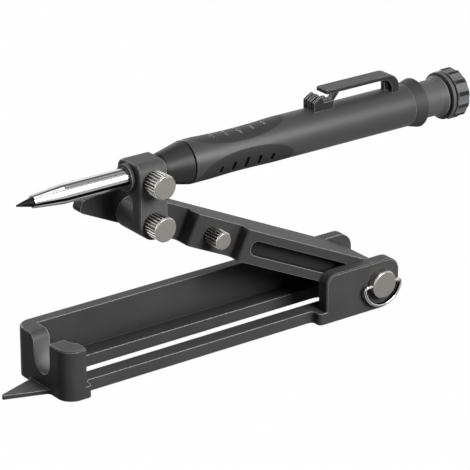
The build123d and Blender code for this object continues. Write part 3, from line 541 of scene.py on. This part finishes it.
wear(moulded_abs("grey_moulded_abs", ("#6a6a6a", "#707070"), "#8a8a8a", (0.45, 0.55)),
     "sharpener_insert")

# %% [markdown]
# ## The pocket clip
# The clip is the same plastic, but it was moulded in a slide that was ground lengthwise, and its
# top kept those fine parallel lines. A Wave texture would draw them as even as a comb, so they are
# a noise that is squeezed across the clip and stretched along it. They are really a few hundredths
# of a millimetre wide and are drawn at 0.35 mm, which is as fine as a picture of the whole tool
# can show. The clip's sides and inner corners are painted darker than its top, as painted shade.

# %% Lengthwise lines
CLIP_LINE, CLIP_LINE_LENGTH, CLIP_LINE_HEIGHT = 0.35, 14.0, 0.04


def drawn_lines(tree, place, width_mm, length_mm):
    """A noise stretched along X."""
    along, across = per_metre(length_mm), per_metre(width_mm)
    stretched = add(tree, "ShaderNodeMapping", {"Vector": place, "Scale": (along, across, across)})
    return add(tree, "ShaderNodeTexNoise", {"Vector": stretched.outputs["Vector"], "Scale": 1.0,
                                            "Detail": 3.0}).outputs[0]


print("lines on the clip:", CLIP_LINE, "mm by", CLIP_LINE_LENGTH, "mm")

# %% Ground ABS
# Reach, limits and tone of the painted shade in the clip's inner corners.
CLIP_CORNER_SHADE = (2.5, 0.4, 0.9)     # reach in mm, closed, clear
CLIP_CORNER_SHADE_TONE = "#080808"


def lined_abs(name, low_tone, high_tone, side_tone, painted_edge_tone):
    """ABS with ground lines: a matt black whose top is streaked with thin paler lines."""
    material, tree, shader = start_material(name)
    place = add(tree, "ShaderNodeTexCoord").outputs["Object"]
    normal, mark = rounded_edges(tree, EDGE_RADIUS / 2)
    lines = drawn_lines(tree, place, CLIP_LINE, CLIP_LINE_LENGTH)
    share = add(tree, "ShaderNodeMapRange", {"Value": lines, **NOISE_CORE})
    body = add(tree, "ShaderNodeMix",
               {0: share.outputs["Result"], MIX_A: colour(low_tone), MIX_B: colour(high_tone)},
               data_type="RGBA")
    # Painted shade on the clip's sides: its walls take the side tone, and only its top shows the
    # lines.
    shaded_sides = add(tree, "ShaderNodeMix",
                 {0: upward_share(tree), MIX_A: colour(side_tone), MIX_B: body.outputs[MIX_OUT]},
                 data_type="RGBA")
    # Painted shade in the clip's inner corners.
    cornered = add(tree, "ShaderNodeMix",
                   {0: open_share(tree, *CLIP_CORNER_SHADE), MIX_A: colour(CLIP_CORNER_SHADE_TONE),
                    MIX_B: shaded_sides.outputs[MIX_OUT]}, data_type="RGBA")
    # Painted highlight along the clip's edges.
    skin = add(tree, "ShaderNodeMix",
               {0: mark, MIX_A: cornered.outputs[MIX_OUT], MIX_B: colour(painted_edge_tone)},
               data_type="RGBA")
    bump = add(tree, "ShaderNodeBump",
               {"Height": lines, "Normal": normal, "Strength": 0.3,
                "Distance": CLIP_LINE_HEIGHT * MM})
    fill(tree, shader, {"Base Color": skin.outputs[MIX_OUT], "Normal": bump.outputs["Normal"],
                        "Roughness": 0.45, "Specular IOR Level": 0.25})
    return material


wear(lined_abs("lengthwise_ground_abs_clip", "#262626", "#464646", side_tone="#202020",
               painted_edge_tone="#b0b0b0"), "pocket_clip")

# %% [markdown]
# ## Nickel-plated screws
# The knurled screws and the hinge bolt are turned from steel bar and plated with nickel, a
# slightly warm white metal. The lathe leaves fine rings on their flat faces, centred on each
# screw, so the rings are worked out from the distance to that screw's own axis. They are really
# about a tenth of a millimetre apart and are drawn at 0.45 mm. The V flutes of the knurl are
# painted nearly black as painted shade. A flute is a fifth of a millimetre or more below the
# crests, and that distance tells it apart from them. The bolt's head has no flutes, and only its
# corners get painted shade. Every edge gets a painted highlight, which makes the rims bright.

# %% Lathe rings
RING_PITCH, RING_HEIGHT = 0.45, 0.02


def lathe_rings(tree, away):
    """A wave that runs outwards from a screw's axis."""
    turns = add(tree, "ShaderNodeMath", {0: away, 1: 2 * math.pi * per_metre(RING_PITCH)},
                operation="MULTIPLY")
    return add(tree, "ShaderNodeMath", {0: turns.outputs["Value"]},
               operation="SINE").outputs["Value"]


print("lathe rings: drawn", RING_PITCH, "mm apart")

# %% Nickel plate
SMEAR = 1.6                     # smears of oil on a disc
DISC_STARTS, DISC_FULL = 0.25, 0.1      # mm behind the front face
FLUTE_TOP, FLUTE_SOFT = 0.2, 0.04       # mm inside the radius of the crests
HEAD_CORNER = (0.8, 0.4, 0.7)   # reach in mm, closed, clear
# The disc's tones, the rims' painted highlight, and the painted shade in flutes and corners.
DISC_TONES, RIM_HIGHLIGHT_TONE, FLUTE_AND_CORNER_SHADE = ("#a6a39e", "#b4b1ac"), "#f2efe9", "#080707"


def turned_nickel(node, side_tone, knurled):
    """Nickel: a satin disc, rings, bright crests, painted rim highlight, painted flute shade."""
    material, tree, shader = start_material("nickel_plated_turned_steel_" + node)
    place = add(tree, "ShaderNodeTexCoord").outputs["Object"]
    low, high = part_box(node)
    radius = (high.x - low.x) / 2
    away = axis_distance(tree, place, (low + high) / 2, ACROSS_Y)
    smears = add(tree, "ShaderNodeTexNoise",
                 {"Vector": place, "Scale": per_metre(SMEAR), "Detail": 3.0}).outputs[0]
    normal, mark = rounded_edges(tree, EDGE_RADIUS / 3)
    depth = add(tree, "ShaderNodeSeparateXYZ", {"Vector": place}).outputs["Y"]
    on_disc = add(tree, "ShaderNodeMapRange",
                  {"Value": depth, "From Min": low.y + DISC_STARTS * MM,
                   "From Max": low.y + DISC_FULL * MM}).outputs["Result"]
    disc = add(tree, "ShaderNodeMix",
               {0: smears, MIX_A: colour(DISC_TONES[0]), MIX_B: colour(DISC_TONES[1])},
               data_type="RGBA")
    # Painted shade in the flutes, by depth below the crests; on the bolt, in its head's corners.
    if knurled:
        unshaded = add(tree, "ShaderNodeMapRange",
                    {"Value": away, "From Min": radius - (FLUTE_TOP + FLUTE_SOFT) * MM,
                     "From Max": radius - (FLUTE_TOP - FLUTE_SOFT) * MM}).outputs["Result"]
    else:
        unshaded = open_share(tree, *HEAD_CORNER)
    side = add(tree, "ShaderNodeMix",
               {0: unshaded, MIX_A: colour(FLUTE_AND_CORNER_SHADE), MIX_B: colour(side_tone)}, data_type="RGBA")
    metal = add(tree, "ShaderNodeMix",
                {0: on_disc, MIX_A: side.outputs[MIX_OUT], MIX_B: disc.outputs[MIX_OUT]},
                data_type="RGBA")
    # Painted highlight on every edge and rim.
    skin = add(tree, "ShaderNodeMix",
               {0: mark, MIX_A: metal.outputs[MIX_OUT], MIX_B: colour(RIM_HIGHLIGHT_TONE)},
               data_type="RGBA")
    gloss = add(tree, "ShaderNodeMapRange", {"Value": on_disc, "To Min": 0.16, "To Max": 0.34})
    bump = add(tree, "ShaderNodeBump",
               {"Height": lathe_rings(tree, away), "Normal": normal, "Strength": 0.08,
                "Distance": RING_HEIGHT * MM})
    fill(tree, shader, {"Base Color": skin.outputs[MIX_OUT], "Roughness": gloss.outputs["Result"],
                        "Normal": bump.outputs["Normal"], "Metallic": 1.0})
    return material


# The crests of the knurls glint nearly white beside the painted shade in their flutes, and the
# bolt's plain side is a softer grey.
for screw in ("pencil_screw", "pivot_screw", "arm_screw"):
    wear(turned_nickel(screw, side_tone="#f2f0ec", knurled=True), screw)
wear(turned_nickel("hinge_bolt", side_tone="#c4c1bc", knurled=False), "hinge_bolt")

# %% [markdown]
# ## Bands on chrome
# The nose tube is drawn steel under bright chrome. Chrome itself is nearly colourless, and the
# dark and bright bands that one sees are the studio in it. Dark cards beside the tool could make
# them, but they would darken its other pieces too, so the bands are painted: on the tube by the
# angle round its axis, as long narrow cards would show, and on the bent wire of the hinge ring by
# the distance from the middle of the wire.

# %% Bands
TUBE_BANDS = ((-95, -80, 0.8), (-63, -44, 0.8), (-20, 1, 1.0), (54, 60, 0.6), (72, 84, 0.7),
              (103, 122, 0.4), (150, 178, 1.0))     # degrees, and how dark
WIRE_BANDS = ((-0.6, -0.3, 1.0), (0.1, 0.28, 1.0), (0.46, 0.6, 1.0))    # mm, and how dark
TUBE_SOFT, WIRE_SOFT = 3.0, 0.06


def band_share(tree, value, bands, soft):
    """How much of the dark bands lies at a value; a band is its start, its end and its depth."""
    total = 0.0
    for start, end, depth in bands:
        off = add(tree, "ShaderNodeMath", {0: value, 1: (start + end) / 2}, operation="SUBTRACT")
        size = add(tree, "ShaderNodeMath", {0: off.outputs["Value"]}, operation="ABSOLUTE")
        near = add(tree, "ShaderNodeMapRange",
                   {"Value": size.outputs["Value"], "From Min": (end - start) / 2 + soft,
                    "From Max": (end - start) / 2 - soft / 2, "To Max": depth})
        total = add(tree, "ShaderNodeMath", {0: near.outputs["Result"], 1: total},
                    operation="MAXIMUM").outputs["Value"]
    return total


print(len(TUBE_BANDS), "bands round the tube,", len(WIRE_BANDS), "along the wire")

# %% Where the bands lie
FRAY = 7.0                      # degrees by which the drawn lines shift the bands
RING_LINE_RADIUS = 6.8          # mm, centre line of the ring's round part


def turn_round_tube(tree, place, lines):
    """Degrees round the pencil's axis, up from -Y, which the drawn lines shift a little."""
    moved = add(tree, "ShaderNodeMapping", {"Vector": place, "Location": -pencil_axis})
    parts = add(tree, "ShaderNodeSeparateXYZ", {"Vector": moved.outputs["Vector"]})
    flipped = add(tree, "ShaderNodeMath", {0: parts.outputs["Y"], 1: -1.0}, operation="MULTIPLY")
    turn = add(tree, "ShaderNodeMath", {0: parts.outputs["Z"], 1: flipped.outputs["Value"]},
               operation="ARCTAN2")
    degrees = add(tree, "ShaderNodeMath", {0: turn.outputs["Value"]}, operation="DEGREES")
    return add(tree, "ShaderNodeMath", {0: lines, 1: FRAY, 2: degrees.outputs["Value"]},
               operation="MULTIPLY_ADD").outputs["Value"]


def off_ring_line(tree, place):
    """Millimetres outwards from the centre line of the ring's round part."""
    low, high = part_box("hinge_bolt")
    away = axis_distance(tree, place, (low + high) / 2, ACROSS_Y)
    return add(tree, "ShaderNodeMath", {0: away, 1: 1 / MM, 2: -RING_LINE_RADIUS},
               operation="MULTIPLY_ADD").outputs["Value"]


print("the ring's round part has a centre line of", RING_LINE_RADIUS, "mm radius")

# %% [markdown]
# ## Chrome-plated steel
# Drawing the tube through its die left faint lengthwise lines, really hundredths of a millimetre
# wide and drawn at 0.7 mm. They are the same kind of mark as the clip's lines, so the same
# function draws them. They make the chrome a little duller in streaks, and they fray the borders
# of the bands. The wire of the hinge ring is smoother and shinier.

# %% Chrome
DRAWN_LINE, DRAWN_LENGTH, DRAWN_HEIGHT = 0.7, 60.0, 0.05
STREAK_STARTS, STREAK_FULL = 0.38, 0.6
CHROME_TONE, BAND_TONE = "#f8f8f8", "#0c0c0c"
STREAK_ROUGHER = 1.6


def chrome(name, streak_tone, roughness, on_tube):
    """Chrome on steel: near white with hard black bands and faint streaks along it."""
    material, tree, shader = start_material(name)
    place = add(tree, "ShaderNodeTexCoord").outputs["Object"]
    lines = drawn_lines(tree, place, DRAWN_LINE, DRAWN_LENGTH)
    share = add(tree, "ShaderNodeMapRange",
                {"Value": lines, "From Min": STREAK_STARTS, "From Max": STREAK_FULL})
    metal = add(tree, "ShaderNodeMix",
                {0: share.outputs["Result"], MIX_A: colour(streak_tone),
                 MIX_B: colour(CHROME_TONE)}, data_type="RGBA")
    if on_tube:
        dark = band_share(tree, turn_round_tube(tree, place, lines), TUBE_BANDS, TUBE_SOFT)
    else:
        dark = band_share(tree, off_ring_line(tree, place), WIRE_BANDS, WIRE_SOFT)
    banded = add(tree, "ShaderNodeMix",
                 {0: dark, MIX_A: metal.outputs[MIX_OUT], MIX_B: colour(BAND_TONE)},
                 data_type="RGBA")
    gloss = add(tree, "ShaderNodeMapRange",
                {"Value": lines, **NOISE_MIDDLE, "To Min": roughness * STREAK_ROUGHER,
                 "To Max": roughness})
    bump = add(tree, "ShaderNodeBump",
               {"Height": lines, "Strength": 0.25, "Distance": DRAWN_HEIGHT * MM})
    fill(tree, shader, {"Base Color": banded.outputs[MIX_OUT],
                        "Roughness": gloss.outputs["Result"],
                        "Normal": bump.outputs["Normal"], "Metallic": 1.0})
    return material


wear(chrome("drawn_chromed_steel_tube", "#c0c0c0", 0.16, on_tube=True), "nose_tube")
wear(chrome("chromed_steel_wire", "#e0e0e0", 0.1, on_tube=False), "hinge_ring")

# %% [markdown]
# ## Graphite, brass and the hidden steel
# The lead is fired graphite and clay, nearly black and dull. The chuck is turned brass, a warm
# yellow that shows only when the pencil is opened. The lead tube, the spring, and the sharpener's
# blade and screw are bright steel, a plain cool grey. Each could be one even tone, but a fine
# grain in it keeps it from looking like plastic, and one function serves the three.

# %% Plain metals and graphite
GRAIN_HEIGHT = 0.03


def grained(name, low_tone, high_tone, metallic, roughness, grain_mm, specular=0.5):
    """One tone with a fine grain: it looks solid and worked, and nowhere quite even."""
    material, tree, shader = start_material(name)
    place = add(tree, "ShaderNodeTexCoord").outputs["Object"]
    grain = add(tree, "ShaderNodeTexNoise",
                {"Vector": place, "Scale": per_metre(grain_mm), "Detail": 2.0}).outputs[0]
    share = add(tree, "ShaderNodeMapRange", {"Value": grain, **NOISE_CORE})
    body = add(tree, "ShaderNodeMix",
               {0: share.outputs["Result"], MIX_A: colour(low_tone), MIX_B: colour(high_tone)},
               data_type="RGBA")
    bump = add(tree, "ShaderNodeBump",
               {"Height": grain, "Strength": 0.15, "Distance": GRAIN_HEIGHT * MM})
    fill(tree, shader, {"Base Color": body.outputs[MIX_OUT], "Normal": bump.outputs["Normal"],
                        "Metallic": metallic, "Roughness": roughness,
                        "Specular IOR Level": specular})
    return material


wear(grained("fired_graphite_lead", "#070707", "#101010", metallic=0.0, roughness=0.5,
             grain_mm=0.5, specular=0.12), "lead")
wear(grained("turned_brass", "#a88645", "#b8975a", metallic=1.0, roughness=0.3, grain_mm=0.6),
     "collet", "collet_ring")
bright_steel = grained("bright_drawn_steel", "#9a9a9a", "#b0b0b0", metallic=1.0, roughness=0.28,
                       grain_mm=0.8)
wear(bright_steel, "lead_tube", "return_spring", "sharpener_blade", "blade_screw")

# %% [markdown]
# ## The return spring
# The return spring is wound steel wire round the lead tube, and the pressed button shortens it. A
# merged copy of its mesh, shaded smooth, stands for it on the pencil's body.

# %% The return spring
SAME_POINT = 0.001 * MM


def shortening_spring(node, material):
    """A merged copy of the spring's mesh, which stands for it on the pencil's body."""
    shape = bmesh.new()
    shape.from_mesh(nodes[node].data)
    bmesh.ops.remove_doubles(shape, verts=shape.verts, dist=SAME_POINT)
    for face in shape.faces:
        face.smooth = True
    mesh = bpy.data.meshes.new("wound_spring")
    shape.to_mesh(mesh)
    shape.free()
    mesh.materials.append(material)
    spring = bpy.data.objects.new("wound_spring", mesh)
    bpy.context.scene.collection.objects.link(spring)
    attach(spring, "pencil")
    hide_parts(node)
    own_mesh(spring)
    return spring


coil = shortening_spring("return_spring", bright_steel)
print(coil.name, "stands for return_spring,", len(coil.data.polygons), "faces")

# %% [markdown]
# ## The floor
# The photograph has a plain white ground. White paper alone would need more light than the tool
# can take, so the floor answers camera rays with plain white, while diffuse light meets an
# ordinary pale floor that keeps a soft shadow. Mirror rays see it white too, but dimmer, because a
# wholly white room would turn black plastic grey.

# %% Floor
PAPER_TONE, GLOW = "#5c5c5c", 1.02
SEEN_WHITE, MIRRORED_WHITE = 0.97, 0.4      # shares of the glow to the eye and to mirror rays
FLOOR_HALF = 2.0                            # metres


def mirror_rays(tree, path):
    """1 for glossy and transmission rays."""
    return add(tree, "ShaderNodeMath",
               {0: path.outputs["Is Glossy Ray"], 1: path.outputs["Is Transmission Ray"]},
               operation="MAXIMUM").outputs["Value"]


def white_paper():
    """Paper sweep: white to the eye, with a soft grey shadow under the tool."""
    material = bpy.data.materials.new("white_paper_sweep")
    material.use_nodes = True
    tree = material.node_tree
    tree.nodes.clear()
    path = add(tree, "ShaderNodeLightPath")
    paper = add(tree, "ShaderNodeBsdfDiffuse", {"Color": colour(PAPER_TONE)})
    glow = add(tree, "ShaderNodeEmission", {"Color": colour("#ffffff"), "Strength": GLOW})
    seen = add(tree, "ShaderNodeMath", {0: path.outputs["Is Camera Ray"], 1: SEEN_WHITE},
               operation="MULTIPLY")
    mirrored = add(tree, "ShaderNodeMath", {0: mirror_rays(tree, path), 1: MIRRORED_WHITE},
                   operation="MULTIPLY")
    share = add(tree, "ShaderNodeMath",
                {0: seen.outputs["Value"], 1: mirrored.outputs["Value"]}, operation="MAXIMUM")
    both = add(tree, "ShaderNodeMixShader",
               {0: share.outputs["Value"], 1: paper.outputs["BSDF"],
                2: glow.outputs["Emission"]})
    add(tree, "ShaderNodeOutputMaterial", {"Surface": both.outputs["Shader"]})
    return material


shape = bmesh.new()
bmesh.ops.create_grid(shape, x_segments=1, y_segments=1, size=FLOOR_HALF)
sheet = bpy.data.meshes.new("floor")
shape.to_mesh(sheet)
shape.free()
sheet.materials.append(white_paper())
floor = bpy.data.objects.new("floor", sheet)
bpy.context.scene.collection.objects.link(floor)
print("floor:", 2 * FLOOR_HALF, "m each way")

# %% [markdown]
# ## The background
# Behind and above the floor is the world, as white to the eye as the floor. Mirror rays see it
# white too, but dimmer overhead, so that flat tops don't turn grey. One even white would light the
# tool from every side and leave it flat, so as light the world gives only a little, and the lamps
# do the rest.

# %% World
AMBIENT = 0.14
DIM_STARTS, DIM_FULL, DIMMED = 0.45, 0.8, 0.3   # height of the ray's way, and what is left there

world = bpy.data.worlds.new("studio")
bpy.context.scene.world = world
world.use_nodes = True
sky = world.node_tree
sky.nodes.clear()
path = add(sky, "ShaderNodeLightPath")
direct = add(sky, "ShaderNodeMath",
             {0: path.outputs["Is Camera Ray"], 1: mirror_rays(sky, path)}, operation="MAXIMUM")
way = add(sky, "ShaderNodeTexCoord").outputs["Generated"]
rise = add(sky, "ShaderNodeSeparateXYZ", {"Vector": way}).outputs["Z"]
ceiling = add(sky, "ShaderNodeMapRange",
              {"Value": rise, "From Min": DIM_STARTS, "From Max": DIM_FULL, "To Min": 1.0,
               "To Max": DIMMED})
plain = add(sky, "ShaderNodeMath",
            {0: ceiling.outputs["Result"], 1: path.outputs["Is Camera Ray"]}, operation="MAXIMUM")
white = add(sky, "ShaderNodeBackground",
            {"Color": colour("#ffffff"), "Strength": plain.outputs["Value"]})
soft = add(sky, "ShaderNodeBackground", {"Color": colour("#ffffff"), "Strength": AMBIENT})
both = add(sky, "ShaderNodeMixShader",
           {0: direct.outputs["Value"], 1: soft.outputs["Background"],
            2: white.outputs["Background"]})
add(sky, "ShaderNodeOutputWorld", {"Surface": both.outputs["Shader"]})
bpy.context.scene.view_settings.view_transform = "Standard"
print("world: white to the eye,", AMBIENT, "as light")

# %% [markdown]
# ## Camera
# The photograph was taken with a long lens from the front left, a little above the tool. The place
# was solved from the edges of the shoe and the pencil: 36.3 degrees round, 22.6 degrees up and
# 0.81 m away, with a 213.5 mm lens on a full-frame sensor. The camera and the lamps are placed
# alike, by a direction and a distance from the middle of the tool, and look back at it.

# %% Camera
TARGET = Vector((-43.5, 0.0, 29.8)) * MM
CAMERA_ROUND, CAMERA_UP, CAMERA_AWAY = -36.29, 22.60, 808.5 * MM
LENS, SENSOR = 213.5, 36.0
NEAREST, FARTHEST = 0.05, 10.0


def aim(thing, azimuth, elevation, distance):
    """Puts a camera or lamp at a direction from the target, looking at it."""
    turn, rise = math.radians(azimuth), math.radians(elevation)
    way = Vector((math.sin(turn) * math.cos(rise), -math.cos(turn) * math.cos(rise),
                  math.sin(rise)))
    thing.location = TARGET + way * distance
    thing.rotation_mode = "QUATERNION"
    thing.rotation_quaternion = (-way).to_track_quat("-Z", "Y")
    bpy.context.scene.collection.objects.link(thing)


camera = bpy.data.objects.new("camera", bpy.data.cameras.new("camera"))
camera.data.lens, camera.data.sensor_width = LENS, SENSOR
camera.data.clip_start, camera.data.clip_end = NEAREST, FARTHEST
aim(camera, CAMERA_ROUND, CAMERA_UP, CAMERA_AWAY)
bpy.context.scene.camera = camera
print("camera at", [round(v, 3) for v in camera.location])

# %% [markdown]
# ## Lamps
# Three large soft boxes. The key stands to the right of the camera and above it, so the middle of
# the barrel is its brightest part and the faces towards the guide point stay dark, as in the
# photograph. One overhead gives the flat tops their pale tone, and one behind shows the back of
# the tool.

# %% Lamps
LAMP_DISTANCE = 0.7


def soft_box(name, azimuth, elevation, size, power):
    """A square area lamp that looks at the middle of the tool."""
    lamp = bpy.data.lights.new(name, "AREA")
    lamp.shape, lamp.size, lamp.energy = "SQUARE", size, power
    aim(bpy.data.objects.new(name, lamp), azimuth, elevation, LAMP_DISTANCE)
    print(name, "lamp:", power, "W,", size, "m square")


soft_box("key", azimuth=14, elevation=28, size=0.34, power=7.8)
soft_box("overhead", azimuth=20, elevation=80, size=0.4, power=1.0)
soft_box("back", azimuth=185, elevation=18, size=0.34, power=5.5)
